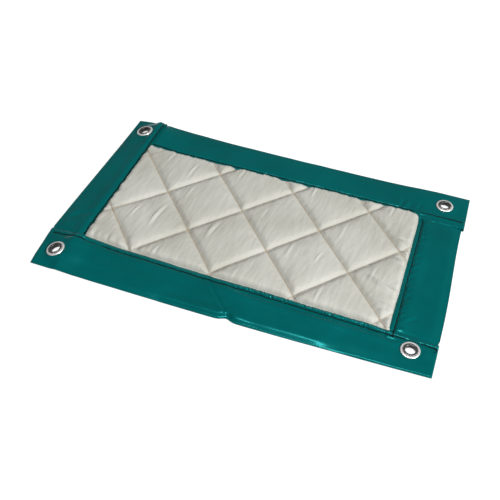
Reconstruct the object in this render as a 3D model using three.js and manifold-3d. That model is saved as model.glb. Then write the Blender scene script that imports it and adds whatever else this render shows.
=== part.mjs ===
// Quilted fire blanket with a folded PVC border and an eyelet in each corner, lying flat.
// Millimetres, +Z up, origin at the centre of the surface that the blanket lies on.
// +X runs along the length and -Y is the front edge.

import * as THREE from "three";
import { mergeVertices } from "three/addons/utils/BufferGeometryUtils.js";
import Module from "manifold-3d";

const wasm = await Module();
wasm.setup();

// Driving dimensions
const LENGTH = 500;
const WIDTH = 310;
const GAP = 0.3; // clearance between pieces that touch
const PVC = 0.6; // thickness of the border sheet
const FABRIC = 0.5; // thickness of the face and back fabric

// Where the lapped inner edges of the border lie
const LEFT_LAP = -206;
const RIGHT_LAP = 190;
const BACK_LAP = 97;
const FRONT_LAP_LEFT = -96; // the front strip's lap runs slightly askew
const FRONT_LAP_RIGHT = -107;

// Heights
const EYELET_FLANGE = 0.8;
const BORDER_BOTTOM = EYELET_FLANGE + GAP;
const BORDER_THICKNESS = 4.2;
const BORDER_TOP = BORDER_BOTTOM + BORDER_THICKNESS;
const PAD_TOP = 12.5;

// The panel's flat margin, held between the plies of the border
const MARGIN = 15; // how far the margin reaches under the border
const MARGIN_RELIEF = 6; // how far the margin stops short of each corner
const BACK_MARGIN = BORDER_BOTTOM + PVC + GAP; // underside of the margin
const FACE_MARGIN = BORDER_TOP - PVC - GAP; // upper side of the margin

// Corners: the end of each covered strip is tucked inside the strip that covers it
const TONGUE = 12;
const SHOULDER = 3; // the short step between a strip and its tongue

// Eyelets
const EYELET_SIDE_INSET = { left: 22, right: 30 };
const EYELET_EDGE_INSET = 27; // from the front and back edges
const HOLE_RADIUS = 6;
const BARREL_RADIUS = 6.6;
const FLANGE_RADIUS = 11.7;
const LIP_RADIUS = 8.8;
const WASHER_RISE = 0.9; // how far the washer's crown stands above its rim
const PLY_HOLE_RADIUS = BARREL_RADIUS + GAP;
const ROUND_STEPS = 32;

// Quilting: two families of parallel stitch lines that make diamonds
const QUILT_PITCH = 107; // spacing of one family's lines along X
const QUILT_ROW = 58.3; // spacing of the rows of crossings along Y
const FIRST_CROSSING = { x: -89, y: 76.5 };
const QUILT_FAMILIES = [
  { letter: "a", lean: -1, lines: [-2, -1, 0, 1, 2], faceDepth: 6.4, backDepth: 2.4 },
  { letter: "b", lean: 1, lines: [0, 1, 2, 3, 4], faceDepth: 5.5, backDepth: 1.5 },
];
const FACE_GROOVE_HALF_WIDTH = 14;
const BACK_GROOVE_HALF_WIDTH = 6;

// Threads
const QUILT_THREAD = 1.2;
const SEAM_THREAD = 1.0;
const THREAD_THICKNESS = 0.6;
const SEAM_INSET = 7; // stitch line to the lapped edge
const SEAM_END = 2; // stitches stop this far from the outer edge

const BIG = LENGTH; // reaches past the blanket in any direction

const materials = {
  faceFabric: new THREE.MeshStandardMaterial({ color: 0xc4c1b4, roughness: 0.45 }),
  backFabric: new THREE.MeshStandardMaterial({ color: 0xbab6a8, roughness: 0.55 }),
  batting: new THREE.MeshStandardMaterial({ color: 0xebe8df, roughness: 0.95 }),
  tarpaulin: new THREE.MeshStandardMaterial({ color: 0x005e5e, roughness: 0.3 }),
  nickel: new THREE.MeshStandardMaterial({ color: 0xc9ccd0, roughness: 0.2, metalness: 1 }),
  quiltThread: new THREE.MeshStandardMaterial({ color: 0xb5a080, roughness: 0.7 }),
  seamThread: new THREE.MeshStandardMaterial({ color: 0x0a2e2a, roughness: 0.6 }),
};

// Booleans -------------------------------------------------------------------

function toSolid(geometry) {
  const bare = geometry.clone();
  bare.deleteAttribute("normal");
  bare.deleteAttribute("uv");
  const merged = mergeVertices(bare, 1e-4);
  const mesh = new wasm.Mesh({
    numProp: 3,
    vertProperties: new Float32Array(merged.attributes.position.array),
    triVerts: new Uint32Array(merged.index.array),
  });
  return new wasm.Manifold(mesh);
}

function toGeometry(solid) {
  const mesh = solid.getMesh();
  const geometry = new THREE.BufferGeometry();
  geometry.setAttribute("position", new THREE.BufferAttribute(mesh.vertProperties, 3));
  geometry.setIndex(new THREE.BufferAttribute(mesh.triVerts, 1));
  geometry.computeVertexNormals();
  return geometry;
}

// Basic solids ---------------------------------------------------------------

// A flat plate with the given plan outline, a list of [x, y] points.
function plate(outline, bottom, top) {
  const shape = new THREE.Shape(outline.map(([x, y]) => new THREE.Vector2(x, y)));
  const geometry = new THREE.ExtrudeGeometry(shape, { depth: top - bottom, bevelEnabled: false });
  geometry.translate(0, 0, bottom);
  return toSolid(geometry);
}

function rectangle(x0, y0, x1, y1) {
  return [[x0, y0], [x1, y0], [x1, y1], [x0, y1]];
}

// A section drawn in (across, up), swept in a straight line from start to end.
function sweep(section, start, end) {
  const along = new THREE.Vector3(end[0] - start[0], end[1] - start[1], 0);
  const depth = along.length();
  along.normalize();
  const up = new THREE.Vector3(0, 0, 1);
  const across = new THREE.Vector3().crossVectors(up, along);
  const geometry = new THREE.ExtrudeGeometry(section, { depth, bevelEnabled: false, curveSegments: 5 });
  geometry.applyMatrix4(new THREE.Matrix4().makeBasis(across, up, along));
  geometry.translate(start[0], start[1], 0);
  return toSolid(geometry);
}

function boxSection(halfWidth, bottom, top) {
  const corners = rectangle(-halfWidth, bottom, halfWidth, top);
  return new THREE.Shape(corners.map(([x, y]) => new THREE.Vector2(x, y)));
}

// A V that opens upwards (or downwards, when mouth is below apex).
function grooveSection(halfWidth, apex, mouth) {
  const spread = (halfWidth * (mouth - apex) + Math.sign(mouth - apex) * halfWidth) / (mouth - apex);
  const past = mouth + Math.sign(mouth - apex);
  const points = [[-spread, past], [0, apex], [spread, past]];
  return new THREE.Shape(points.map(([x, y]) => new THREE.Vector2(x, y)));
}

// Layout ---------------------------------------------------------------------

function frontLap(x) {
  const share = (x - LEFT_LAP) / (RIGHT_LAP - LEFT_LAP);
  return FRONT_LAP_LEFT + share * (FRONT_LAP_RIGHT - FRONT_LAP_LEFT);
}

// The opening inside the border, shrunk by inset on each side.
function windowOutline(inset) {
  const left = LEFT_LAP + inset;
  const right = RIGHT_LAP - inset;
  const back = BACK_LAP - inset;
  return [[left, frontLap(left) + inset], [right, frontLap(right) + inset], [right, back], [left, back]];
}

// Everything in front of the front strip's lapped edge, moved back by clearance.
function frontStripRegion(clearance) {
  const half = LENGTH / 2 + 1;
  const outline = [
    [-half, -BIG],
    [half, -BIG],
    [half, frontLap(half) + clearance],
    [-half, frontLap(-half) + clearance],
  ];
  return plate(outline, -1, BORDER_TOP + 1);
}

// The panel with its margins, which stop short of the corners to leave room for the tongues.
function marginOutline() {
  const left = LEFT_LAP + MARGIN_RELIEF;
  const right = RIGHT_LAP - MARGIN_RELIEF;
  const back = BACK_LAP - MARGIN_RELIEF;
  const frontLeft = frontLap(left) + MARGIN_RELIEF;
  const frontRight = frontLap(right) + MARGIN_RELIEF;
  return [
    [left, frontLap(left) - MARGIN],
    [right, frontLap(right) - MARGIN],
    [right, frontRight],
    [RIGHT_LAP + MARGIN, frontRight],
    [RIGHT_LAP + MARGIN, back],
    [right, back],
    [right, BACK_LAP + MARGIN],
    [left, BACK_LAP + MARGIN],
    [left, back],
    [LEFT_LAP - MARGIN, back],
    [LEFT_LAP - MARGIN, frontLeft],
    [left, frontLeft],
  ];
}

// Quilting lines ---------------------------------------------------------------

// The two ends of a quilting line where it crosses the window, both lying on the window's edge.
function quiltLine(family, index, inset) {
  const run = (family.lean * QUILT_PITCH) / 2 / QUILT_ROW; // X travelled for each millimetre of Y
  const xAt = (y) => FIRST_CROSSING.x + QUILT_PITCH * index + (y - FIRST_CROSSING.y) * run;
  const yAt = (x) => FIRST_CROSSING.y + (x - FIRST_CROSSING.x - QUILT_PITCH * index) / run;
  const left = LEFT_LAP + inset;
  const right = RIGHT_LAP - inset;
  const clamped = (y) => {
    const x = xAt(y);
    if (x < left) return [left, yAt(left)];
    if (x > right) return [right, yAt(right)];
    return [x, y];
  };
  // the front edge is askew, so its crossing is found by a few repeated steps
  let front = frontLap(xAt(FRONT_LAP_LEFT));
  for (let step = 0; step < 6; step += 1) front = frontLap(xAt(front)) + inset;
  return [clamped(front), clamped(BACK_LAP - inset)];
}

function forEachQuiltLine(visit) {
  for (const family of QUILT_FAMILIES) {
    family.lines.forEach((index, order) => {
      visit(family, index, `${family.letter}${order + 1}`);
    });
  }
}

// A line stretched well past both its ends.
function stretched([start, end]) {
  const dx = end[0] - start[0];
  const dy = end[1] - start[1];
  const scale = BIG / Math.hypot(dx, dy);
  return [
    [start[0] - dx * scale, start[1] - dy * scale],
    [end[0] + dx * scale, end[1] + dy * scale],
  ];
}

function windowEdges() {
  const corners = windowOutline(0);
  return corners.map((corner, i) => [corner, corners[(i + 1) % corners.length]]);
}

// The quilted part of the panel inside the window: a block with soft V grooves along the
// stitch lines and round its edges. Offset shrinks it on every side.
function quiltedBlock(offset, bottom, top) {
  let block = plate(windowOutline(GAP + offset), bottom, top);
  const edgeApex = BORDER_TOP + GAP - offset;
  for (const edge of windowEdges()) {
    const [start, end] = stretched(edge);
    block = block.subtract(sweep(grooveSection(FACE_GROOVE_HALF_WIDTH, edgeApex, PAD_TOP - offset), start, end));
  }
  forEachQuiltLine((family, index) => {
    const [start, end] = stretched(quiltLine(family, index, 0));
    const faceApex = PAD_TOP - family.faceDepth - offset;
    const backApex = family.backDepth + offset;
    block = block.subtract(sweep(grooveSection(FACE_GROOVE_HALF_WIDTH, faceApex, PAD_TOP - offset), start, end));
    block = block.subtract(sweep(grooveSection(BACK_GROOVE_HALF_WIDTH, backApex, offset), start, end));
  });
  return block;
}

// Panel ------------------------------------------------------------------------

function faceFabric() {
  const underside = FACE_MARGIN - FABRIC;
  const margin = plate(marginOutline(), underside, FACE_MARGIN);
  const outside = quiltedBlock(0, underside, PAD_TOP);
  const inside = quiltedBlock(FABRIC, underside - 1, PAD_TOP - FABRIC);
  return margin.add(outside).subtract(inside);
}

function backFabric() {
  const upperSide = BACK_MARGIN + FABRIC;
  const margin = plate(marginOutline(), BACK_MARGIN, upperSide);
  const outside = quiltedBlock(0, 0, upperSide);
  const inside = quiltedBlock(FABRIC, FABRIC, upperSide + 1);
  return margin.add(outside).subtract(inside);
}

function batting() {
  const skin = FABRIC + GAP;
  const margin = plate(marginOutline(), BACK_MARGIN + skin, FACE_MARGIN - skin);
  return margin.add(quiltedBlock(skin, skin, PAD_TOP - skin));
}

// Border -----------------------------------------------------------------------

// A sheet folded over at the outer edge, in (distance from the outer edge, height).
// Inset moves it inwards, to lie inside another fold.
function foldSection(width, inset, thickness) {
  const centre = BORDER_THICKNESS / 2;
  const middle = BORDER_BOTTOM + centre;
  const outer = centre - inset;
  const inner = outer - thickness;
  const shape = new THREE.Shape();
  shape.moveTo(width, middle - outer);
  shape.lineTo(centre, middle - outer);
  shape.absarc(centre, middle, outer, -Math.PI / 2, Math.PI / 2, true);
  shape.lineTo(width, middle + outer);
  shape.lineTo(width, middle + inner);
  shape.lineTo(centre, middle + inner);
  shape.absarc(centre, middle, inner, Math.PI / 2, -Math.PI / 2, false);
  shape.lineTo(width, middle - inner);
  return shape;
}

// Corners of the plan, in the order in which each side's sweep has the blanket on its left.
const SIDES = {
  front: { at: (s) => [s, -WIDTH / 2], sense: 1, width: WIDTH / 2 + Math.max(FRONT_LAP_LEFT, FRONT_LAP_RIGHT) + 2 },
  right: { at: (s) => [LENGTH / 2, s], sense: 1, width: LENGTH / 2 - RIGHT_LAP },
  back: { at: (s) => [s, WIDTH / 2], sense: -1, width: WIDTH / 2 - BACK_LAP },
  left: { at: (s) => [-LENGTH / 2, s], sense: -1, width: LENGTH / 2 + LEFT_LAP },
};

// A stretch of folded sheet along one side, from coordinate low to high.
function foldedSheet(side, low, high, inset, thickness) {
  const { at, sense, width } = SIDES[side];
  const [from, to] = sense > 0 ? [low, high] : [high, low];
  return sweep(foldSection(width, inset, thickness), at(from), at(to));
}

// The narrower end of a strip, tucked inside the fold of the strip that covers it, with its shoulder.
// Step is +1 where the tongue points along the coordinate and -1 where it points against it.
function tuckedEnd(side, lap, step) {
  const depthOfFold = PVC + GAP;
  const shoulderStart = lap - step * 2 * GAP;
  const shoulderEnd = shoulderStart - step * SHOULDER;
  const ordered = (a, b) => [Math.min(a, b), Math.max(a, b)];
  const shoulder = foldedSheet(side, ...ordered(shoulderStart, shoulderEnd), 0, depthOfFold + PVC);
  const tongue = foldedSheet(side, ...ordered(lap + step * TONGUE, shoulderEnd), depthOfFold, PVC);
  return shoulder.add(tongue);
}

function cutForEyelet(strip, corner) {
  const [x, y] = eyeletCentre(corner);
  const drill = new THREE.CylinderGeometry(PLY_HOLE_RADIUS, PLY_HOLE_RADIUS, 4 * BORDER_THICKNESS, ROUND_STEPS);
  drill.rotateX(Math.PI / 2);
  drill.translate(x, y, BORDER_TOP);
  return strip.subtract(toSolid(drill));
}

// The front strip lies over both its neighbours.
function frontStrip() {
  const full = foldedSheet("front", -LENGTH / 2, LENGTH / 2, 0, PVC);
  const trimmed = full.intersect(frontStripRegion(0));
  return cutForEyelet(cutForEyelet(trimmed, "front_left"), "front_right");
}

// The left strip covers the back corner and is tucked under the front strip.
function leftStrip() {
  const lap = frontLap(LEFT_LAP);
  const full = foldedSheet("left", lap - TONGUE, WIDTH / 2, 0, PVC);
  const trimmed = full.subtract(frontStripRegion(GAP));
  const highestLap = frontLap(-LENGTH / 2);
  return cutForEyelet(trimmed.add(tuckedEnd("left", highestLap, -1)), "back_left");
}

// The back strip is tucked under the left strip and covers the back right corner.
function backStrip() {
  const full = foldedSheet("back", LEFT_LAP + GAP, LENGTH / 2, 0, PVC);
  return cutForEyelet(full.add(tuckedEnd("back", LEFT_LAP, -1)), "back_right");
}

// The right strip is tucked in at both ends.
function rightStrip() {
  const highestLap = frontLap(RIGHT_LAP);
  const full = foldedSheet("right", highestLap + GAP, BACK_LAP - GAP, 0, PVC);
  const atFront = tuckedEnd("right", highestLap, -1);
  const atBack = tuckedEnd("right", BACK_LAP, 1);
  return full.add(atFront).add(atBack);
}

// Eyelets ------------------------------------------------------------------------

function eyeletCentre(corner) {
  const [edge, side] = corner.split("_");
  const x = side === "left" ? EYELET_SIDE_INSET.left - LENGTH / 2 : LENGTH / 2 - EYELET_SIDE_INSET.right;
  const y = (edge === "front" ? -1 : 1) * (WIDTH / 2 - EYELET_EDGE_INSET);
  return [x, y];
}

function turned(profile) {
  const points = profile.map(([r, z]) => new THREE.Vector2(r, z));
  points.push(points[0].clone());
  const geometry = new THREE.LatheGeometry(points, ROUND_STEPS);
  geometry.rotateX(Math.PI / 2); // the lathe's axis becomes +Z
  return geometry;
}

// Flange below, barrel through the border and a lip rolled over the washer.
function eyelet() {
  const wall = BARREL_RADIUS - HOLE_RADIUS;
  const lipUnderside = washerCrown() + GAP;
  return turned([
    [HOLE_RADIUS + wall, 0],
    [FLANGE_RADIUS - wall, 0],
    [FLANGE_RADIUS, EYELET_FLANGE / 2],
    [FLANGE_RADIUS - wall, EYELET_FLANGE],
    [BARREL_RADIUS, EYELET_FLANGE],
    [BARREL_RADIUS, lipUnderside],
    [LIP_RADIUS, lipUnderside],
    [LIP_RADIUS, lipUnderside + wall / 2],
    [LIP_RADIUS - wall, lipUnderside + wall],
    [HOLE_RADIUS + wall, lipUnderside + wall],
    [HOLE_RADIUS, lipUnderside + wall / 2],
    [HOLE_RADIUS, wall],
  ]);
}

function washerCrown() {
  return BORDER_TOP + GAP + WASHER_RISE;
}

// A domed ring that the lip presses on the upper ply.
function washer() {
  const bottom = BORDER_TOP + GAP;
  const inner = PLY_HOLE_RADIUS;
  return turned([
    [inner, bottom],
    [FLANGE_RADIUS, bottom],
    [FLANGE_RADIUS, bottom + WASHER_RISE / 3],
    [FLANGE_RADIUS - 1, washerCrown() - WASHER_RISE / 4],
    [FLANGE_RADIUS - 2, washerCrown()],
    [inner, washerCrown()],
  ]);
}

// Threads ------------------------------------------------------------------------

// How far above a groove's apex a flat thread has to lie to keep its gap to both slopes.
function seat(halfWidth, depth) {
  return (QUILT_THREAD / 2) * (depth / halfWidth) + GAP;
}

function quiltNeedleThread(family, index) {
  const bottom = PAD_TOP - family.faceDepth + seat(FACE_GROOVE_HALF_WIDTH, family.faceDepth);
  const [start, end] = quiltLine(family, index, QUILT_THREAD);
  return sweep(boxSection(QUILT_THREAD / 2, bottom, bottom + THREAD_THICKNESS), start, end);
}

function quiltBobbinThread(family, index) {
  const top = family.backDepth - seat(BACK_GROOVE_HALF_WIDTH, family.backDepth);
  const [start, end] = quiltLine(family, index, QUILT_THREAD);
  return sweep(boxSection(QUILT_THREAD / 2, top - THREAD_THICKNESS, top), start, end);
}

// Ends of the four border seams. Each runs across the strips that its own strip covers.
function seamLines() {
  const frontSeam = (x) => [x, frontLap(x) - SEAM_INSET];
  const left = LEFT_LAP - SEAM_INSET;
  const right = RIGHT_LAP + SEAM_INSET;
  const back = BACK_LAP + SEAM_INSET;
  const endX = LENGTH / 2 - SEAM_END;
  return {
    front: [frontSeam(-endX), frontSeam(endX)],
    left: [[left, frontLap(left) + SEAM_END], [left, WIDTH / 2 - SEAM_END]],
    back: [[LEFT_LAP + SEAM_END, back], [endX, back]],
    right: [[right, frontLap(right) + SEAM_END], [right, BACK_LAP - SEAM_END]],
  };
}

function seamThread([start, end], bottom) {
  return sweep(boxSection(SEAM_THREAD / 2, bottom, bottom + THREAD_THICKNESS), start, end);
}

// Assembly -----------------------------------------------------------------------

const blanket = new THREE.Group();

function add(name, geometry, material, position = [0, 0, 0]) {
  const mesh = new THREE.Mesh(geometry, material);
  mesh.name = name;
  mesh.position.set(...position);
  blanket.add(mesh);
}

add("face_fabric", toGeometry(faceFabric()), materials.faceFabric);
add("insulation_batting", toGeometry(batting()), materials.batting);
add("back_fabric", toGeometry(backFabric()), materials.backFabric);

add("border_front", toGeometry(frontStrip()), materials.tarpaulin);
add("border_left", toGeometry(leftStrip()), materials.tarpaulin);
add("border_back", toGeometry(backStrip()), materials.tarpaulin);
add("border_right", toGeometry(rightStrip()), materials.tarpaulin);

for (const corner of ["front_left", "front_right", "back_left", "back_right"]) {
  const place = [...eyeletCentre(corner), 0];
  add(`eyelet_${corner}`, eyelet(), materials.nickel, place);
  add(`washer_${corner}`, washer(), materials.nickel, place);
}

forEachQuiltLine((family, index, label) => {
  add(`quilt_thread_${label}`, toGeometry(quiltNeedleThread(family, index)), materials.quiltThread);
  add(`quilt_bobbin_${label}`, toGeometry(quiltBobbinThread(family, index)), materials.quiltThread);
});

for (const [side, line] of Object.entries(seamLines())) {
  const needleBottom = BORDER_TOP + GAP;
  const bobbinBottom = BORDER_BOTTOM - GAP - THREAD_THICKNESS;
  add(`seam_thread_${side}`, toGeometry(seamThread(line, needleBottom)), materials.seamThread);
  add(`seam_bobbin_${side}`, toGeometry(seamThread(line, bobbinBottom)), materials.seamThread);
}

export default blanket;
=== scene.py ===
"""The visual model of a quilted fire blanket: a padded panel quilted in diamonds, held in a folded PVC
border with a nickel eyelet in each corner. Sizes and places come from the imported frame, in metres."""

import math
from functools import cache

import bmesh
import bpy
from mathutils import Matrix, Vector, noise


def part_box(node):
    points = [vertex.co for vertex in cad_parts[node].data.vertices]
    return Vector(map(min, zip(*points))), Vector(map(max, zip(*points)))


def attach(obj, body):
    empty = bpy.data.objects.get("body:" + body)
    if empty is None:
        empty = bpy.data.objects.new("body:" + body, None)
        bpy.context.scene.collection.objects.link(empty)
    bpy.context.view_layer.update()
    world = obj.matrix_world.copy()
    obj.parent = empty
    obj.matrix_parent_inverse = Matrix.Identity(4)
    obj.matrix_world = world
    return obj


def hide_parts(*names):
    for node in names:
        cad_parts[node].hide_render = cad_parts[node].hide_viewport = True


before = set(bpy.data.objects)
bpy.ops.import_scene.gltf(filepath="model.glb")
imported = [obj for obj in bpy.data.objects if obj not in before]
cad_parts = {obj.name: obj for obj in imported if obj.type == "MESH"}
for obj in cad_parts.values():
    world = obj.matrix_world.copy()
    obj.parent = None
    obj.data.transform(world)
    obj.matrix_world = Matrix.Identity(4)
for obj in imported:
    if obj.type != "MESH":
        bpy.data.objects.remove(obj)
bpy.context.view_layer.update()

MM = 0.001
CORNERS = ("front_left", "front_right", "back_left", "back_right")
SIDES = ("front", "left", "back", "right")

# Layout, read from the frame
LEFT_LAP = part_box("border_left")[1][0]
RIGHT_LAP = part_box("border_right")[0][0]
BACK_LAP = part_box("border_back")[0][1]
LEFT_EDGE, FRONT_EDGE, BORDER_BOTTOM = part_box("border_front")[0]
RIGHT_EDGE, _, BORDER_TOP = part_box("border_front")[1]
BACK_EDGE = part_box("border_back")[1][1]
PAD_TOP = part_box("face_fabric")[1][2]

# Cloth, sheet and thread
PVC = 0.6 * MM
FOLD_RADIUS = (BORDER_TOP - BORDER_BOTTOM) / 2
FOLD_MIDDLE = BORDER_BOTTOM + FOLD_RADIUS
MARGIN_HEIGHT = BORDER_TOP - PVC - 0.3 * MM  # the panel's flat margin between the plies
BACK_MARGIN_HEIGHT = BORDER_BOTTOM + PVC + 0.3 * MM
MARGIN_REACH = 9 * MM  # how far the panel reaches in under the border
CUT_WIDER, CUT_DEEPER = 1.035, 1.022  # the face is cut this much larger, and taken up by the quilting
QUILT_HEIGHT = 6.6 * MM  # the face is stitched down to this height
CREASE_RUN = 6.5 * MM  # the steep fall beside a quilting line
PILLOW_RUN = 23 * MM  # from a quilting line to the level part of a pillow
EASE = 1 * MM  # the pad's top is rounded off from this far below its height in the frame
TOP_ROOM = 1.5 * MM  # and stands at most this far above it
CELLS = 28  # cloth cells along one side of a quilted diamond
CLOTH_FRAMES = 20  # frames the cloth is simulated for
STITCH = 3.2 * MM  # length of one stitch
STEPS_PER_STITCH = 6
TUBE_SIDES = 6
THREAD_RADIUS = 0.42 * MM
SEAM_THREAD_RADIUS = 0.672 * MM
RIGHT_SEAM_OVERRUN = 12 * MM  # how far the right seam is sewn on past the front lap


def smooth(t):
    t = min(max(t, 0.0), 1.0)
    return t * t * (3 - 2 * t)


def bell(distance, width):
    return math.exp(-((distance / width) ** 2))


def uneven(x, y, length_x, length_y, layer):
    """Smooth noise from -1 to 1, with bumps of the given lengths."""
    return noise.noise(Vector((x / length_x, y / length_y, layer)))


def centre(node):
    low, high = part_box(node)
    return Vector([(a + b) / 2 for a, b in zip(low, high)])


def size(node):
    low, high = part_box(node)
    return Vector([b - a for a, b in zip(low, high)])


# Layout of the border and the quilting

SEAM_INSET = centre("seam_thread_back").y - BACK_LAP
LEFT_SEAM_INSET = 3.2 * MM  # the left seam was sewn closer to the lapped edge than the others
FRONT_SEAM = size("seam_thread_front")
FRONT_SKEW = FRONT_SEAM.y / FRONT_SEAM.x
FRONT_LAP = centre("seam_thread_front").y + SEAM_INSET


def front_lap(x):
    """The front strip's lapped edge, which runs slightly askew."""
    return FRONT_LAP - FRONT_SKEW * x


def window_depth(x, y):
    """How far a point lies inside the opening of the border; negative under the border."""
    return min(x - LEFT_LAP, RIGHT_LAP - x, BACK_LAP - y, y - front_lap(x))


SIDE_LEAN = math.radians(6)  # how far the left part of the border leans outwards
EYELET_LEAN = math.radians(12)  # and its two eyelets
RAISED = 35 * MM  # how far in from the left edge the border rises
EYELETS = {corner: centre(f"eyelet_{corner}") for corner in CORNERS}
EYELET_RISE = 0.7 * MM
EYELET_SEAT = 12.5 * MM  # the border is flat this far round a left eyelet
EYELET_FORWARD = {"front_left": 0.09, "back_left": 0.03}  # slope towards the front edge


def side_lift(x, y):
    """How far the leaning left part of the border stands up. It fades towards the front and back ends."""
    slope = math.tan(SIDE_LEAN) * min(max(x - LEFT_EDGE, 0.0), RAISED)
    inward = 1 - smooth((x - LEFT_LAP) / (50 * MM))
    from_front = smooth((y - FRONT_EDGE) / (38 * MM))
    from_back = smooth((BACK_EDGE + 10 * MM - y) / (38 * MM))
    return slope * inward * from_front * from_back


def lift(x, y):
    """The thick end of the pad holds the left part of the border up, and its two eyelets lean outwards."""
    level = side_lift(x, y)
    for corner, forward in EYELET_FORWARD.items():
        eyelet = EYELETS[corner]
        past, along = x - eyelet.x, y - eyelet.y
        run = 11 * MM + 22 * MM * smooth(past / (14 * MM))
        near = 1 - smooth((math.hypot(past, along) - EYELET_SEAT) / run)
        if near > 0:
            plane = side_lift(eyelet.x, eyelet.y) + EYELET_RISE
            plane += math.tan(EYELET_LEAN) * min(past, EYELET_SEAT) + forward * along
            level += near * (plane - level)
    return level


class Quilting:
    """Two families of parallel lines. A line is x = start + lean * run * y, with start on y = 0."""

    OUTERMOST = 2  # the sewn lines are numbered from -2 to 2 in each family

    def __init__(self):
        longest = size("quilt_thread_a3")
        self.run = longest.x / longest.y
        self.first_a = self.start("a3", -1)
        self.first_b = self.start("b3", 1)
        self.pitch = (self.start("a4", -1) - self.start("a2", -1)) / 2

    def start(self, label, lean):
        middle = centre(f"quilt_thread_{label}")
        return middle.x - lean * self.run * middle.y

    def indices(self, x, y):
        """The point's place among the lines of each family, in whole numbers on the lines."""
        a = (x + self.run * y - self.first_a) / self.pitch
        b = (x - self.run * y - self.first_b) / self.pitch
        return a, b

    def point(self, a, b):
        on_a = self.first_a + a * self.pitch
        on_b = self.first_b + b * self.pitch
        return (on_a + on_b) / 2, (on_a - on_b) / (2 * self.run)

    def stitched(self, *indices):
        """Whether a point lies on one of the sewn lines."""
        return any(abs(i - round(i)) < 1e-6 and abs(round(i)) <= self.OUTERMOST for i in indices)

    def distance(self, x, y):
        """Distance to the nearest sewn line of each family."""
        slope = math.hypot(1, self.run)
        gaps = []
        for place in self.indices(x, y):
            nearest = min(max(round(place), -self.OUTERMOST), self.OUTERMOST)
            gaps.append(abs(place - nearest) * self.pitch / slope)
        return gaps


QUILT = Quilting()


# Mesh helpers


def new_object(name, data):
    thing = bpy.data.objects.new(name, data)
    bpy.context.scene.collection.objects.link(thing)
    return thing


def new_piece(name, points, faces, material, node, slot):
    """A smooth mesh on the one body, which stands for a CAD node."""
    mesh = bpy.data.meshes.new(name)
    mesh.from_pydata([tuple(p) for p in points], [], faces)
    mesh.validate()
    mesh.polygons.foreach_set("use_smooth", [True] * len(mesh.polygons))
    mesh.materials.append(material)
    piece = new_object(name, mesh)
    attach(piece, "root")
    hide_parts(node)
    return piece


def baked(piece):
    """The mesh that the piece's modifiers and simulation give now."""
    graph = bpy.context.evaluated_depsgraph_get()
    return bpy.data.meshes.new_from_object(piece.evaluated_get(graph))


def apply_modifiers(piece):
    mesh = baked(piece)
    piece.modifiers.clear()
    piece.data = mesh


def grid_faces(rows, columns):
    faces = []
    for i in range(rows - 1):
        for j in range(columns - 1):
            corner = i * columns + j
            faces.append((corner, corner + columns, corner + columns + 1, corner + 1))
    return faces


def tube(path, radius):
    """Points and faces of a round tube along a path, with closed ends."""
    points, faces = [], []
    for i, here in enumerate(path):
        ahead = path[min(i + 1, len(path) - 1)] - path[max(i - 1, 0)]
        ahead.normalize()
        side = ahead.cross(Vector((0, 0, 1))).normalized()
        up = side.cross(ahead)
        for k in range(TUBE_SIDES):
            angle = 2 * math.pi * k / TUBE_SIDES
            points.append(here + radius * (math.cos(angle) * side + math.sin(angle) * up))
    last = (len(path) - 1) * TUBE_SIDES
    for low in range(0, last, TUBE_SIDES):
        for k in range(TUBE_SIDES):
            following = (k + 1) % TUBE_SIDES
            high = low + TUBE_SIDES
            faces.append((low + k, low + following, high + following, high + k))
    faces.append(tuple(reversed(range(TUBE_SIDES))))
    faces.append(tuple(range(last, last + TUBE_SIDES)))
    return points, faces


# Materials


class Nodes:
    """A material with a Principled shader, and short ways to add nodes to it. Keywords name its sockets."""

    def __init__(self, name, roughness, metallic=0.0, **sockets):
        self.material = bpy.data.materials.new(name)
        self.material.use_nodes = True
        self.tree = self.material.node_tree
        self.shader = self.tree.nodes["Principled BSDF"]
        self.shader.inputs["Roughness"].default_value = roughness
        self.shader.inputs["Metallic"].default_value = metallic
        for socket, value in sockets.items():
            self.shader.inputs[socket.replace("_", " ")].default_value = value
        self.place = self.add("ShaderNodeTexCoord").outputs["Object"]

    def add(self, kind, inputs=(), **settings):
        node = self.tree.nodes.new(kind)
        for key, value in settings.items():
            setattr(node, key, value)
        for socket, value in dict(inputs).items():
            if isinstance(value, bpy.types.NodeSocket):
                self.tree.links.new(value, node.inputs[socket])
            else:
                node.inputs[socket].default_value = value
        return node

    def math(self, operation, *values):
        return self.add("ShaderNodeMath", enumerate(values), operation=operation).outputs[0]

    def noise(self, scale, detail=3.0, roughness=0.5, place=None):
        inputs = {"Vector": place or self.place, "Scale": scale, "Detail": detail, "Roughness": roughness}
        return self.add("ShaderNodeTexNoise", inputs).outputs[0]

    def mix(self, factor, *colours):
        inputs = {0: factor}
        for index, colour in zip((6, 7), colours):
            inputs[index] = colour if isinstance(colour, bpy.types.NodeSocket) else (*colour, 1.0)
        return self.add("ShaderNodeMix", inputs, data_type="RGBA").outputs[2]

    def range(self, value, low, high, to_low, to_high):
        inputs = {0: value, 1: low, 2: high, 3: to_low, 4: to_high}
        return self.add("ShaderNodeMapRange", inputs).outputs[0]

    def stretched(self, scale, turn=0.0):
        inputs = {"Vector": self.place, "Scale": scale, "Rotation": (0, 0, turn)}
        return self.add("ShaderNodeMapping", inputs).outputs[0]

    def finish(self, colour, *layers, roughness=None):
        """Connect the colour, roughness and bump. Layers are (height, millimetres), coarsest first."""
        self.tree.links.new(colour, self.shader.inputs["Base Color"])
        if roughness:
            self.tree.links.new(roughness, self.shader.inputs["Roughness"])
        normal = None
        for height, distance in layers:
            inputs = {"Height": height, "Distance": distance * MM, "Strength": 1.0}
            if normal:
                inputs["Normal"] = normal
            normal = self.add("ShaderNodeBump", inputs).outputs[0]
        if normal:
            self.tree.links.new(normal, self.shader.inputs["Normal"])
        return self.material


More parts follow.
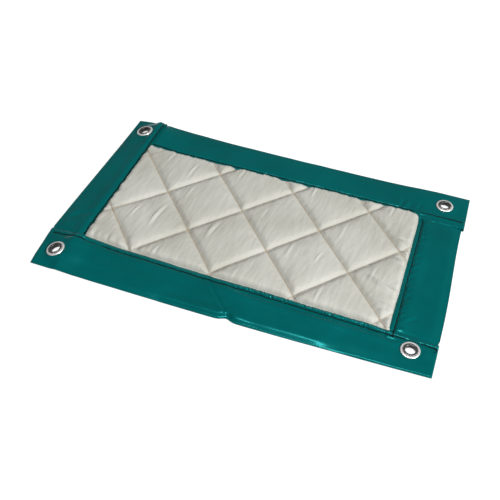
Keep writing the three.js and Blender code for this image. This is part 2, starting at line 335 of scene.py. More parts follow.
def weave(nodes, threads_per_metre):
    """Height of a plain weave: two crossing sets of rounded threads."""
    heights = []
    for turn in (0.0, math.pi / 2):
        place = nodes.stretched((1, 1, 1), turn)
        inputs = {"Vector": place, "Scale": threads_per_metre / math.pi / 2, "Distortion": 0.6, "Detail": 1.0}
        heights.append(nodes.add("ShaderNodeTexWave", inputs, wave_type="BANDS").outputs["Fac"])
    return nodes.math("ADD", *heights)


def tarpaulin_material():
    nodes = Nodes("pvc_tarpaulin", 0.3, Specular_IOR_Level=0.4, Specular_Tint=(0.1, 1.0, 1.0, 1.0))
    cloudy = nodes.noise(9, 3)
    speckle = nodes.noise(900, 2)
    base = nodes.mix(nodes.range(cloudy, 0.35, 0.65, 0, 1), (0.0001, 0.066, 0.066), (0.0001, 0.08, 0.081))
    worn = nodes.range(speckle, 0.62, 0.8, 0, 0.25)
    colour = nodes.mix(worn, base, (0.001, 0.11, 0.11))
    roughness = nodes.range(nodes.noise(40, 4), 0.3, 0.7, 0.22, 0.34)
    soft = nodes.noise(60, 3)
    scrim = weave(nodes, 900)
    return nodes.finish(colour, (soft, 0.25), (scrim, 0.012), (speckle, 0.01), roughness=roughness)


def quilt_gap(nodes, lean, first):
    """Distance to the nearest quilting line of one family."""
    parts = nodes.add("ShaderNodeSeparateXYZ", {0: nodes.place})
    sheared = nodes.math("MULTIPLY", parts.outputs[1], -lean * QUILT.run)
    along = nodes.math("ADD", parts.outputs[0], sheared)
    turns = nodes.math("DIVIDE", nodes.math("SUBTRACT", along, first), QUILT.pitch)
    part = nodes.math("ABSOLUTE", nodes.math("SUBTRACT", turns, nodes.math("ROUND", turns)))
    return nodes.math("MULTIPLY", part, QUILT.pitch / math.hypot(1, QUILT.run))


def quilt_fabric_material():
    nodes = Nodes("quilt_fabric", 0.55, Specular_IOR_Level=0.22, Sheen_Weight=0.2, Sheen_Roughness=0.4)
    cloudy = nodes.noise(14, 4)
    base = nodes.mix(nodes.range(cloudy, 0.35, 0.65, 0, 1), (0.325, 0.322, 0.28), (0.385, 0.385, 0.348))
    # Painted shade and dirt: a brown tint beside the quilting lines, partly soil in the stitched grooves and
    # partly painted shade standing in for the shade of those grooves.
    beside_a = nodes.range(quilt_gap(nodes, -1, QUILT.first_a), 0.3 * MM, 1.9 * MM, 0.75, 0.0)
    beside_b = nodes.range(quilt_gap(nodes, 1, QUILT.first_b), 0.2 * MM, 1.3 * MM, 0.65, 0.0)
    tan = nodes.mix(nodes.math("MAXIMUM", beside_a, beside_b), base, (0.2, 0.155, 0.1))
    smudge = nodes.range(nodes.noise(22, 5, 0.65), 0.6, 0.75, 0, 0.2)
    smudged_and_shaded = nodes.mix(smudge, tan, (0.22, 0.23, 0.225))
    streaks = nodes.noise(1.0, 2, place=nodes.stretched((1600, 45, 45), 0.05))
    colour = nodes.mix(nodes.range(streaks, 0.3, 0.7, 0, 0.22), smudged_and_shaded, (0.52, 0.52, 0.49))
    roughness = nodes.range(cloudy, 0.3, 0.7, 0.5, 0.64)
    wrinkle = nodes.noise(1.0, 4, place=nodes.stretched((150, 34, 60), 0.12))
    layers = [(wrinkle, 0.3), (nodes.noise(160, 3), 0.08), (weave(nodes, 1500), 0.03)]
    return nodes.finish(colour, *layers, roughness=roughness)


def lining_material():
    nodes = Nodes("lining_fabric", 0.6, Sheen_Weight=0.2)
    cloudy = nodes.noise(18, 4)
    colour = nodes.mix(nodes.range(cloudy, 0.35, 0.65, 0, 1), (0.4, 0.38, 0.31), (0.5, 0.48, 0.41))
    return nodes.finish(colour, (nodes.noise(90, 3), 0.2), (weave(nodes, 1300), 0.05))


def batting_material():
    nodes = Nodes("batting", 0.95)
    tufts = nodes.noise(300, 6, 0.7)
    return nodes.finish(nodes.mix(tufts, (0.7, 0.68, 0.61), (0.86, 0.85, 0.8)), (tufts, 0.5))


def metal_material():
    """Nickel plating. The near-black colour inside the barrel, in its flared throat, in the groove round the
    lip and on the rolled lip is painted shade.
    """
    nodes = Nodes("eyelet_metal", 0.3, 0.65)
    bright = nodes.mix(nodes.noise(500, 3), (0.8, 0.79, 0.77), (0.95, 0.94, 0.92))
    parts = nodes.add("ShaderNodeSeparateXYZ", {0: nodes.place})
    height = parts.outputs[2]
    plan = nodes.add("ShaderNodeCombineXYZ", {0: parts.outputs[0], 1: parts.outputs[1]})
    radius = nodes.add("ShaderNodeVectorMath", {0: plan.outputs[0]}, operation="LENGTH").outputs["Value"]

    def within(value, low, high, most=1):
        """As much as most up to low, and nothing from high on, in millimetres."""
        return nodes.range(value, low * MM, high * MM, most, 0)

    # Painted shade: masks of the barrel's inside, the flared throat, the groove round the lip and the lip
    # itself, all mixed towards near black.
    barrel = nodes.math("MULTIPLY", within(height, 6.9, 7.3), within(radius, 6.8, 7.5))
    throat_shade = nodes.math("MULTIPLY", within(height, 3.4, 4), within(radius, 8.5, 8.8))
    groove_shade = within(nodes.math("ABSOLUTE", nodes.math("SUBTRACT", radius, 8.8 * MM)), 0, 0.8, 0.8)
    lip = within(radius, 8.4, 8.9, 0.92)
    dark = nodes.math("MAXIMUM", nodes.math("MAXIMUM", barrel, throat_shade), nodes.math("MAXIMUM", groove_shade, lip))
    colour = nodes.mix(dark, bright, (0.02, 0.02, 0.02))
    roughness = nodes.range(nodes.noise(900, 4), 0.3, 0.7, 0.26, 0.42)
    return nodes.finish(colour, (nodes.noise(1400, 4), 0.02), roughness=roughness)


def thread_material(name, dark, light, sheen):
    nodes = Nodes(name, 0.6, Sheen_Weight=sheen, Specular_IOR_Level=sheen)
    strand = nodes.noise(1.0, 3, place=nodes.stretched((4000, 4000, 1500), 0.8))
    return nodes.finish(nodes.mix(strand, dark, light), (strand, 0.1))


def floor_material():
    """Pale, and faintly lit from below, so that the object throws almost no shadow."""
    nodes = Nodes("floor", 0.9, Specular_IOR_Level=0.1, Emission_Color=(1, 1, 1, 1), Emission_Strength=0.85)
    return nodes.finish(nodes.mix(nodes.noise(3, 2), (0.24, 0.24, 0.24), (0.26, 0.26, 0.26)))


# The quilted panel


def cloth_lattice():
    """Points, their places among the quilting lines, and faces of a grid cut to the opening and a margin."""
    corners = [QUILT.indices(x, y) for x in (LEFT_LAP, RIGHT_LAP) for y in (front_lap(RIGHT_LAP), BACK_LAP)]
    low = [math.floor(min(c[k] for c in corners) * CELLS) - CELLS // 2 for k in (0, 1)]
    high = [math.ceil(max(c[k] for c in corners) * CELLS) + CELLS // 2 for k in (0, 1)]
    used, points, places, faces = {}, [], [], []

    def vertex(i, j):
        if (i, j) not in used:
            used[i, j] = len(points)
            points.append(snapped(*QUILT.point(i / CELLS, j / CELLS)))
            places.append((i / CELLS, j / CELLS))
        return used[i, j]

    for i in range(low[0], high[0]):
        for j in range(low[1], high[1]):
            middle = QUILT.point((i + 0.5) / CELLS, (j + 0.5) / CELLS)
            if window_depth(*middle) > -MARGIN_REACH:
                faces.append((vertex(i, j), vertex(i, j + 1), vertex(i + 1, j + 1), vertex(i + 1, j)))
    return points, places, faces


def snapped(x, y):
    """Pull a point that nearly meets the opening's edge onto it."""
    cell = QUILT.pitch / 2 / CELLS
    for edge in (LEFT_LAP, RIGHT_LAP):
        if abs(x - edge) < cell:
            x = edge
    for edge in (BACK_LAP, front_lap(x)):
        if abs(y - edge) < cell:
            y = edge
    return x, y


def held_height(x, y):
    """Height at which stitches or the border hold the face fabric down."""
    depth = window_depth(x, y)
    if depth < 0:
        return min(margin_height(x, y, -depth), MARGIN_HEIGHT) + lift(x, y)
    rise = smooth(depth / (16 * MM)) * (QUILT_HEIGHT - MARGIN_HEIGHT)
    return MARGIN_HEIGHT + rise + lift(x, y)


def seam_inset(side):
    return LEFT_SEAM_INSET if side == "left" else SEAM_INSET


def edge_gaps(x, y):
    """How far inside each side of the opening a point lies."""
    return {"front": y - front_lap(x), "left": x - LEFT_LAP, "back": BACK_LAP - y, "right": RIGHT_LAP - x}


def margin_height(x, y, reach):
    """Just under the upper ply of the strip that covers this part of the panel's margin."""
    gaps = edge_gaps(x, y)
    side = min(gaps, key=gaps.get)
    covered = top_height(side, x, y, 50 * MM - reach, seam_inset(side) - reach)
    return max(covered - PVC - 0.9 * MM, BACK_MARGIN_HEIGHT + 0.8 * MM)


EDGE_PUFF = {"front": 0.3, "left": 0.8, "back": 1.0, "right": 0.85}
OUTWARD = {"front": (0, -1), "left": (-1, 0), "back": (0, 1), "right": (1, 0)}
BULGE, STAND = 2.3 * MM, 1.9 * MM  # how far the pad's edge bulges outwards and stands up
CLOTH = {"quality": 6, "mass": 0.15, "tension_stiffness": 12, "compression_stiffness": 12,
         "shear_stiffness": 4, "bending_stiffness": 0.08, "air_damping": 2,
         "use_pressure": True, "uniform_pressure_force": 8}


def edge_puff(x, y):
    """The pad stands up at the edge of the opening and bulges over the lap in small scallops."""
    shift = Vector()
    gaps = {side: gap / MM for side, gap in edge_gaps(x, y).items()}
    nearest, second = sorted(gaps.values())[:2]
    if nearest <= 0.1:
        return shift
    rounded = gaps["back"] < 16 and gaps["right"] < 16
    away = smooth(second / (15 if rounded else 3))
    for side, gap in gaps.items():
        if gap > 14:
            continue
        along = (x if side in ("front", "back") else y) / MM
        wave = 0.6 * uneven(along, 3 * len(side), 11, 1, 0) + 0.3 * uneven(along, 5 * len(side), 3.6, 1, 0)
        scallop = away * EDGE_PUFF[side] * (0.75 + wave)
        outward = BULGE * scallop * smooth(gap / 1.2) * (1 - smooth((gap - 1) / 12))
        shift.x += OUTWARD[side][0] * outward
        shift.y += OUTWARD[side][1] * outward
        shift.z += STAND * scallop * smooth(gap) * (1 - smooth((gap - 1.5) / 9))
    return shift


def inflate(piece, held):
    """Cloth simulation: the fabric is cut larger than the area it is sewn down to, and puffs up."""
    piece.shape_key_add(name="sewn")
    cut = piece.shape_key_add(name="cut")
    for point in cut.data:
        point.co = (point.co.x * CUT_WIDER, point.co.y * CUT_DEEPER, point.co.z)
    group = piece.vertex_groups.new(name="held")
    group.add(held, 1.0, "REPLACE")
    cloth = piece.modifiers.new("cloth", "CLOTH")
    cloth.settings.vertex_group_mass = "held"
    cloth.settings.rest_shape_key = cut
    cloth.settings.effector_weights.gravity = 0
    for name, value in CLOTH.items():
        setattr(cloth.settings, name, value)
    cloth.collision_settings.use_collision = False
    scene = bpy.context.scene
    for number in range(1, CLOTH_FRAMES + 1):
        scene.frame_set(number)
    mesh = baked(piece)
    scene.frame_set(1)
    shaped = [v.co.copy() for v in mesh.vertices]
    piece.modifiers.clear()
    piece.shape_key_clear()
    return shaped


def puffed(x, y):
    """The pillow shape that the simulation starts from: steep beside the stitches, then nearly level."""
    gap_a, gap_b = QUILT.distance(x, y)
    gaps = [gap_a, gap_b, 1.6 * window_depth(x, y)]
    if min(gaps) <= 0.01 * MM:
        return held_height(x, y)
    together = sum(gap ** -3 for gap in gaps) ** (-1 / 3)
    steep, broad = [1 - (1 - min(together / run, 1.0)) ** 2 for run in (CREASE_RUN, PILLOW_RUN)]
    base = held_height(x, y)
    return base + (steep + broad) / 2 * (PAD_TOP - base)


def diamond_centres():
    """The middles of the quilted diamonds that show in the opening."""
    furthest = QUILT.OUTERMOST + 2
    numbers = range(-furthest, furthest + 1)
    middles = [QUILT.point(i + 0.5, j + 0.5) for i in numbers for j in numbers]
    return [middle for middle in middles if window_depth(*middle) > -6 * MM]


# Tension folds, in millimetres and degrees: x, y, length, half width, angle, height
FOLDS = [
    (-137, -32, 60, 1.9, 84, 1.7),
    (83, -31, 28, 1.3, 79, 1.1),
    (-59, -32, 46, 1.7, 81, 1.4),
    (168, -49, 56, 3.4, 158, 3.2),
    (183, 33, 26, 2.2, 170, 2.6),
    (184, 18, 24, 2.0, 165, 2.2),
    (184, -2, 26, 2.2, 158, 2.6),
    (181, -77, 17, 1.2, 165, 1.0),
    (180, -86, 16, 1.2, 170, 0.9),
    (-128, 66, 36, 1.4, 84, 1.2),
]


def face_folds():
    """A small fold in every diamond, and the larger ones of the list above."""
    small = []
    for x, y in diamond_centres():
        drift = noise.noise(Vector((x * 31, y * 47, 2.0)))
        x, y = x / MM - 25 - 4 * drift, y / MM + 6 + 8 * drift
        small.append((x, y, 34 + 12 * drift, 1.5, 82 + 6 * drift, 0.8 + 0.4 * drift))
    return small + FOLDS


def fold_height(x, y, folds):
    """Each fold is a slightly bowed ridge with a valley beside it."""
    total = 0.0
    for cx, cy, length, width, degrees, height in folds:
        dx, dy, angle = x / MM - cx, y / MM - cy, math.radians(degrees)
        along = dx * math.cos(angle) + dy * math.sin(angle)
        across = -dx * math.sin(angle) + dy * math.cos(angle)
        across += 0.12 * along * along / length
        reach = abs(along) / (length / 2)
        if reach < 1.0 and abs(across) < 6 * width:
            taper = (1 - reach * reach) ** 2
            total += height * taper * (bell(across, width) - 0.75 * bell(across + 1.9 * width, width))
    return total * MM


def gather_height(x, y):
    """Pleats where the front seam has drawn the fabric in, puckers along the stitches, and soft wrinkles."""
    front_gap, depth, stitch = (y - front_lap(x)) / MM, window_depth(x, y) / MM, STITCH / MM
    gap_a, gap_b = [gap / MM for gap in QUILT.distance(x, y)]
    x, y, near = x / MM, y / MM, min(gap_a, gap_b)
    pleats = bell(front_gap - 6, 8) * smooth(-(x + 85) / 90) * (0.75 + 0.6 * uneven(x, 0, 14, 1, 4))
    total = 0.6 * pleats * math.sin(2 * math.pi * x / 9 + 3 * math.sin(x / 17))
    ripple = uneven(x, y, 6.5, 6.5, 0) + 0.4 * uneven(x, y, 3.1, 3.1, 0)
    total += 0.55 * ripple * near / 3 * bell(near, 6.5)
    lean = -1 if gap_a < gap_b else 1
    along = (x * QUILT.run + lean * y) / math.hypot(QUILT.run, 1)
    total += 0.45 * math.sin(2 * math.pi * along / stitch) * near / 1.5 * bell(near, 2.6)
    total += 0.4 * uneven(x, y, 11, 30, 3)
    sharp = max(0.0, 1 - 3.2 * abs(uneven(x - 0.15 * y, y, 6, 34, 7)))
    total += 0.3 * sharp * smooth(near / 9)
    return total * MM * smooth(depth / 3)


def capped(z):
    """Round heights off towards the highest that the pad may stand."""
    over = z - (PAD_TOP - EASE)
    if over <= 0:
        return z
    room = EASE + TOP_ROOM
    return PAD_TOP - EASE + room * math.tanh(over / room)


def make_face(material):
    points, places, faces = cloth_lattice()
    sewn = [Vector((x, y, held_height(x, y))) for x, y in points]
    piece = new_piece("quilted_face", sewn, faces, material, "face_fabric", "quilt_fabric")
    held = [k for k, place in enumerate(places)
            if QUILT.stitched(*place) or window_depth(*points[k]) < 0.2 * MM]
    loose = set(range(len(points))) - set(held)
    for k in loose:
        piece.data.vertices[k].co.z = puffed(*points[k])
    shaped = inflate(piece, held)
    for k, vertex in enumerate(piece.data.vertices):
        vertex.co = shaped[k] if k in loose else sewn[k]
        vertex.co.z = capped(vertex.co.z)
    coarse = [v.co.copy() for v in piece.data.vertices]
    smoother = piece.modifiers.new("smooth", "SUBSURF")
    smoother.levels = smoother.render_levels = 1
    apply_modifiers(piece)
    folds = face_folds()
    for vertex in piece.data.vertices:
        x, y, z = vertex.co
        fade = smooth(window_depth(x, y) / (4 * MM))
        vertex.co.z = z + fade * fold_height(x, y, folds) + gather_height(x, y)
        vertex.co += edge_puff(x, y)
    return piece, (points, faces, coarse)


def back_height(x, y):
    """The underside: shallow fields that lie on the floor, drawn up along the stitch lines."""
    near = min(QUILT.distance(x, y))
    field = 0.35 * MM + 0.15 * MM * uneven(x, y, 20 * MM, 20 * MM, 9)
    drawn = field + (2.6 * MM - field) * bell(near, 5 * MM)
    depth = window_depth(x, y)
    held = BACK_MARGIN_HEIGHT + 0.2 * MM
    raised = lift(x, y) * (1 - smooth(depth / (24 * MM)))
    return held + (drawn - held) * smooth(depth / (9 * MM)) + raised


def make_back(lattice, material):
    points, faces, _ = lattice
    placed = [Vector((x, y, back_height(x, y))) for x, y in points]
    downward = [tuple(reversed(face)) for face in faces]
    return new_piece("quilted_back", placed, downward, material, "back_fabric", "lining_fabric")


def make_wadding(lattice, material):
    """A closed pad that fills the space between the two fabrics."""
    points, faces, face_points = lattice
    skin = 0.8 * MM  # clearance from each fabric
    fold_room = 1.6 * MM  # and more under a pillow, for the fabric's wrinkles
    folds = face_folds()
    count = len(points)
    top, bottom = [], []
    for (x, y), above in zip(points, face_points):
        low = back_height(x, y) + skin
        valley = max(-fold_height(x, y, folds), 0.0) * 1.3
        clearance = skin + max(fold_room * smooth((above.z - QUILT_HEIGHT) / (2 * MM)), valley)
        top.append(Vector((above.x, above.y, max(above.z - clearance, low + 0.3 * MM))))
        bottom.append(Vector((x, y, low)))
    edges = {edge: True for face in faces for edge in zip(face, face[1:] + face[:1])}
    walls = [(b, a, a + count, b + count) for a, b in edges if (b, a) not in edges]
    below = [tuple(k + count for k in reversed(face)) for face in faces]
    points, faces = top + bottom, faces + below + walls
    return new_piece("wadding", points, faces, material, "insulation_batting", "batting")


# The border

PINCH_X = 7  # where the front edge is pinched, in millimetres
FRONT_SEAM_BULGE = 5 * MM  # the left edge stands out here, at the front strip's seam
BACK_SEAM_BULGE = 2 * MM  # the back edge stands out here, at the left strip's seam
TONGUE = 12 * MM  # how far a tucked end runs on inside the strip that covers it
SEAM_REACH = 14 * MM  # the mesh is finer this close to a lapped edge
LOWEST_TOP = BORDER_BOTTOM + 1.5 * MM  # the upper ply never sinks into the lower one
LOWEST_OVER_MARGIN = BORDER_BOTTOM + 3.2 * MM  # nor into the panel's margin between them
HOLE_CUT = 7.5 * MM  # radius of the holes for the eyelets
EYELET_STRIPS = {"front_left": "front", "front_right": "front", "back_left": "left", "back_right": "back"}


def arch(t, peak):
    """0 at both ends of a strip and peak at t = 0.5."""
    return peak * 4 * t * (1 - t)


def front_curves(t):
    outer = Vector((LEFT_EDGE + (RIGHT_EDGE - LEFT_EDGE) * t, FRONT_EDGE - arch(t, 3 * MM)))
    outer.y += 3.6 * MM * bell(outer.x / MM - PINCH_X, 7)
    x = LEFT_EDGE - FRONT_SEAM_BULGE + t * (RIGHT_EDGE + 1 * MM - LEFT_EDGE + FRONT_SEAM_BULGE)
    return outer, Vector((x, front_lap(x)))


def left_curves(t):
    seam_y = front_lap(LEFT_EDGE)
    y = BACK_EDGE + t * (seam_y - BACK_EDGE)
    outer = Vector((LEFT_EDGE - FRONT_SEAM_BULGE * smooth(t * 0.9) * 0.95, y))
    y = BACK_EDGE + BACK_SEAM_BULGE * 1.25 + t * (front_lap(LEFT_LAP) - BACK_EDGE - BACK_SEAM_BULGE * 1.25)
    return outer, Vector((LEFT_LAP + 0.4 * MM * math.sin(14 * t), y))


def back_curves(t):
    x = RIGHT_EDGE + 2 * MM + t * (LEFT_LAP - RIGHT_EDGE - 2 * MM)
    dip = -arch(t, 3.4 * MM) + BACK_SEAM_BULGE * smooth((t - 0.72) / 0.28) + 1.5 * MM * bell(t - 0.08, 0.08)
    outer = Vector((x, BACK_EDGE + dip))
    return outer, Vector((x, BACK_LAP - corner_cut(x - RIGHT_LAP)))


def corner_cut(past):
    """The two laps curve in where they meet at the back right corner of the opening."""
    return 6 * MM * smooth((past + 13 * MM) / (13 * MM))


def right_curves(t):
    y = front_lap(RIGHT_LAP) + t * (BACK_LAP - front_lap(RIGHT_LAP))
    outer = Vector((RIGHT_EDGE + 1.2 * MM * math.sin(5 * t + 0.4), y))
    return outer, Vector((RIGHT_LAP + arch(t, 0.8 * MM) - corner_cut(y - BACK_LAP), y))


# For each strip: its outer and lapped edge, its ends that are tucked into another strip, and its stations
STRIPS = {
    "front": (front_curves, (), 500),
    "left": (left_curves, (1,), 170),
    "back": (back_curves, (1,), 280),
    "right": (right_curves, (0, 1), 140),
}

# In millimetres: how far the upper ply falls towards the outer edge of each strip, and over what width
EDGE_FALL = {"front": 2.0, "left": 0.5, "back": 0.5, "right": 1.4}
FALL_RUN = {"front": 7.5, "left": 11, "back": 11, "right": 11}
SWELL = {"front": 1.0, "left": 1.0, "back": 0.25, "right": 1.0}  # how much the PVC swells beside a seam

# Creases in millimetres: start, end, half width, depth
CREASES = {
    "front": [((-252, -139), (-80, -147), 7, 0.9), ((7, -151), (-34, -110), 1.8, 0.9)],
    "left": [((-243, -72), (-228, -56), 4.5, 0.9), ((-228, -56), (-213, -55), 4.0, 0.8),
             ((-232, 96), (-222, 112), 1.2, 0.4), ((-238, 92), (-231, 112), 1.2, 0.35)],
    "back": [((163, 106), (165, 126), 2.2, 0.9), ((173, 106), (177, 120), 2.6, 0.9),
             ((186, 106), (189, 124), 1.8, 0.8)],
    "right": [((208, -90), (222, -78), 2, 0.8)],
}


def crease(x, y, start, end, width, depth):
    """A valley along a straight line, with a low ridge on one side. In millimetres, like the reliefs."""
    (ax, ay), (bx, by) = start, end
    length = math.hypot(bx - ax, by - ay)
    along = ((x - ax) * (bx - ax) + (y - ay) * (by - ay)) / length
    across = ((x - ax) * (by - ay) - (y - ay) * (bx - ax)) / length
    if not -width < along < length + width:
        return 0.0
    taper = smooth(along / (0.2 * length) + 0.2) * smooth((length - along) / (0.35 * length))
    return -depth * taper * (bell(across, width) - 0.55 * bell(across + 1.8 * width, 1.3 * width))


def front_relief(x, y, outer_gap, seam_gap):
    """The front strip's rolled edge, its pinch, its crinkled lap and a dimple near its right end."""
    rolled = smooth((x + 90) / 30) * smooth((135 - x) / 40) * (1 - 0.55 * smooth((x - 12) / 16))
    pinch = bell(x - PINCH_X, 6)
    waver = 0.8 + 0.5 * uneven(x, 0, 45, 1, 3)
    z = -rolled * waver * (1 - 0.8 * pinch) * 1.9 * (1 - smooth(outer_gap / 7))
    z += rolled * (0.7 * bell(outer_gap - 8, 4) - 0.8 * bell(outer_gap - 17, 7))
    z -= 1.4 * pinch * bell(outer_gap - 2, 8)
    crinkled = smooth((x + 12) / 30) * smooth((186 - x) / 24)
    ridge = 1 - 2.4 * abs(uneven(x, y, 5, 9, 1))
    fine = uneven(x, y, 2.2, 4, 4)
    z += crinkled * 0.12 * min(max(seam_gap, 0.0), SEAM_INSET / MM)
    z += crinkled * bell(seam_gap - 3.5, 3.5) * (1.1 * ridge + 1.3 * fine)
    z -= crinkled * 1.5 * bell(seam_gap + 3.2, 3.4)
    if seam_gap < 0:
        z -= 1.1 * bell(math.hypot((x - 197) / 1.9, y + 112) - 8, 2.2)
    return z


def right_relief(x, y, seam_gap):
    """Slanting puckers beside the right seam."""
    return 1.2 * bell(seam_gap + 5, 4.5) * uneven(x, y - 0.5 * x, 14, 4, 6)


def top_height(side, x, y, outer_gap, seam_gap):
    """Height of the outside of a strip's upper ply. Seam_gap is positive on the lapped side of the seam."""
    x, y, outer_gap, seam_gap = [value / MM for value in (x, y, outer_gap, seam_gap)]
    z = 1.2 * uneven(x, y, 75, 75, 5) + 0.5 * uneven(x, y, 26, 26, 8) - 0.2
    level_end = 0.9 * smooth((x - 105) / 45) if side == "front" else 0.0
    z -= EDGE_FALL[side] * (1 - level_end) * (1 - smooth(outer_gap / FALL_RUN[side]))
    z -= 1.5 * bell(seam_gap, 1.4)
    z += SWELL[side] * (0.9 * bell(seam_gap + 9, 6) + 0.5 * bell(seam_gap - 3, 2))
    z -= 0.9 * smooth((seam_gap - 2) / 5)
    z += 0.35 * bell(seam_gap, 4) * uneven(x, y, 4, 4, 2)
    z += sum(crease(x, y, *shape) for shape in CREASES[side])
    if side == "front":
        z += front_relief(x, y, outer_gap, seam_gap)
    elif side == "right":
        z += right_relief(x, y, seam_gap)
    return max(BORDER_TOP + z * MM, LOWEST_OVER_MARGIN if seam_gap > -4 else LOWEST_TOP)


@cache
def span_of(side):
    curves = STRIPS[side][0]
    return (curves(1)[0] - curves(0)[0]).length


@cache
def width_of(side):
    outer, lap = STRIPS[side][0](0.5)
    return (lap - outer).length


def strip_section(width):
    """Stations across a strip from the lower lapped edge round the fold to the upper lapped edge.
    Each is (part, distance from the outer edge or angle round the fold)."""
    stations = [("below", width - (width - FOLD_RADIUS) * k / 12) for k in range(12)]
    stations += [("fold", math.pi * k / 10) for k in range(11)]
    gap = FOLD_RADIUS
    while gap < width - 0.9 * MM:
        gap += 1.5 * MM if gap < width - SEAM_REACH else 0.75 * MM
        stations.append(("above", min(gap, width)))
    return stations


def along_stations(side):
    """Places along a strip: closer together at an open end, where the plies close up, and on past a
    tucked end to the tip of its tongue."""
    _, tucked, count = STRIPS[side]
    closer = [part / count for part in (0, 0.12, 0.3, 0.55)]
    tongue = [-part * TONGUE / span_of(side) for part in (1, 0.75, 0.5, 0.25, 0)]
    first, last = [tongue if end in tucked else closer for end in (0, 1)]
    return first + [k / count for k in range(1, count)] + [1 - step for step in reversed(last)]


def edges_at(side, t):
    """A strip's outer and lapped edge. They run straight on past its ends, where t is below 0 or over 1."""
    curves = STRIPS[side][0]
    inside = min(max(t, 0.0), 1.0)
    outer, lap = curves(inside)
    step = (curves(0.51)[0] - curves(0.5)[0]).normalized()
    beyond = step * (inside - t) * span_of(side)
    return outer - beyond, lap - beyond


def end_gaps(side, t, ends):
    return [(t if end == 0 else 1 - t) * span_of(side) for end in ends]


def closing(side, t):
    """1 along a strip, falling to 0 at its open ends, where the plies close up."""
    open_ends = [end for end in (0, 1) if end not in STRIPS[side][1]]
    gap = min(end_gaps(side, t, open_ends), default=FOLD_RADIUS)
    return math.sqrt(max(1 - (1 - gap / FOLD_RADIUS) ** 2, 0.0)) if gap < FOLD_RADIUS else 1.0


def tucking(side, t):
    """0 along a strip, rising to 1 on its tongues, which are thinner."""
    gaps = end_gaps(side, t, STRIPS[side][1])
    return max([smooth((5 * MM - gap) / (5 * MM)) for gap in gaps], default=0.0)


def pressing(place):
    """1 where an eyelet presses the border flat, falling to 0 round it."""
    near = min(math.hypot(place.x - eyelet.x, place.y - eyelet.y) for eyelet in EYELETS.values())
    return smooth((19 * MM - near) / (7 * MM))


def strip_point(side, t, station):
    """A point on the outside of a strip. Its level is its height above the middle of the fold."""
    outer, lap = edges_at(side, t)
    width = (lap - outer).length
    part, value = station
    if part == "fold":
        gap, level = FOLD_RADIUS - FOLD_RADIUS * math.sin(value), -FOLD_RADIUS * math.cos(value)
    else:
        gap, level = value, FOLD_RADIUS if part == "above" else -FOLD_RADIUS
    if gap > FOLD_RADIUS:
        reach = (gap - FOLD_RADIUS) / (width_of(side) - FOLD_RADIUS)
        gap = FOLD_RADIUS + reach * (width - FOLD_RADIUS)
    tucked = tucking(side, t)
    drawn_in = 1 * MM * tucked if gap < 2 * FOLD_RADIUS else 0.0
    place = outer + (lap - outer).normalized() * (gap + drawn_in)
    if level > 0:
        seam_gap = gap - (width - seam_inset(side))
        weight = smooth(level / FOLD_RADIUS)
        upper = top_height(side, place.x, place.y, gap, seam_gap) - FOLD_MIDDLE
        level += (upper - FOLD_RADIUS) * weight
        if part == "above":
            level += (BORDER_TOP - 0.1 * MM - FOLD_MIDDLE - level) * pressing(place)
        level += cover_rise(side, place, seam_gap) * weight
    else:
        level += 0.15 * MM * uneven(place.x, place.y, 30 * MM, 30 * MM, 7)
    droop = EDGE_FALL[side] * MM / 2 * smooth((15 * MM - gap) / (13 * MM))
    middle = FOLD_MIDDLE + (lift(place.x, place.y) - droop)
    return Vector((place.x, place.y, middle + level * closing(side, t) * (1 - 0.42 * tucked)))


def cover_rise(side, place, seam_gap):
    """A strip stands a little higher where another strip is tucked inside it."""
    if side == "right":
        return 0.0
    past_left, past_right, past_back = LEFT_LAP - place.x, place.x - RIGHT_LAP, place.y - BACK_LAP
    over = {"front": max(past_left, past_right), "left": past_back, "back": past_right}[side]
    reach = smooth((TONGUE + 4 * MM - (seam_inset(side) - seam_gap)) / (7 * MM))
    return 0.7 * MM * reach * smooth((over + 3 * MM) / (4 * MM))


def make_strip(side, material):
    section = strip_section(width_of(side))
    along = along_stations(side)
    points = [strip_point(side, t, station) for t in along for station in section]
    faces = grid_faces(len(along), len(section))
    piece = new_piece(f"{side}_strip", points, faces, material, f"border_{side}", "pvc_tarpaulin")
    thick = piece.modifiers.new("thickness", "SOLIDIFY")
    thick.thickness = PVC
    thick.offset = -1
    for corner, strip in EYELET_STRIPS.items():
        if strip == side:
            punch(piece, EYELETS[corner])
    apply_modifiers(piece)
    return piece


def punch(piece, middle):
    """Cut an eyelet's hole through both plies."""
    drill = bpy.data.meshes.new("drill")
    build = bmesh.new()
    bmesh.ops.create_cone(build, cap_ends=True, segments=48, radius1=HOLE_CUT, radius2=HOLE_CUT, depth=0.05,
                          matrix=Matrix.Translation((middle.x, middle.y, 0)))
    build.to_mesh(drill)
    build.free()
    cutter = new_object("drill", drill)
    cut = piece.modifiers.new("hole", "BOOLEAN")
    cut.object = cutter
    cut.operation = "DIFFERENCE"
    cut.solver = "EXACT"
    apply_modifiers(piece)
    bpy.data.objects.remove(cutter)


# Eyelets


def turned(profile, segments, warp=None):
    """Points and faces of a closed profile turned about +Z. The profile is in millimetres."""
    points, faces = [], []
    count = len(profile)
    for s in range(segments):
        angle = 2 * math.pi * s / segments
        here, after = s * count, (s + 1) % segments * count
        for k, (radius, height) in enumerate(profile):
            if warp:
                radius, height = warp(angle, k, radius, height)
            points.append(Vector((radius * math.cos(angle), radius * math.sin(angle), height)) * MM)
            following = (k + 1) % count
            faces.append((here + k, after + k, after + following, here + following))
    return points, faces


def arc(cx, cz, rx, rz, start, end, steps):
    """Points on an ellipse about (cx, cz), between two angles in degrees."""
    for k in range(steps + 1):
        angle = math.radians(start + (end - start) * k / steps)
        yield cx + rx * math.cos(angle), cz + rz * math.sin(angle)


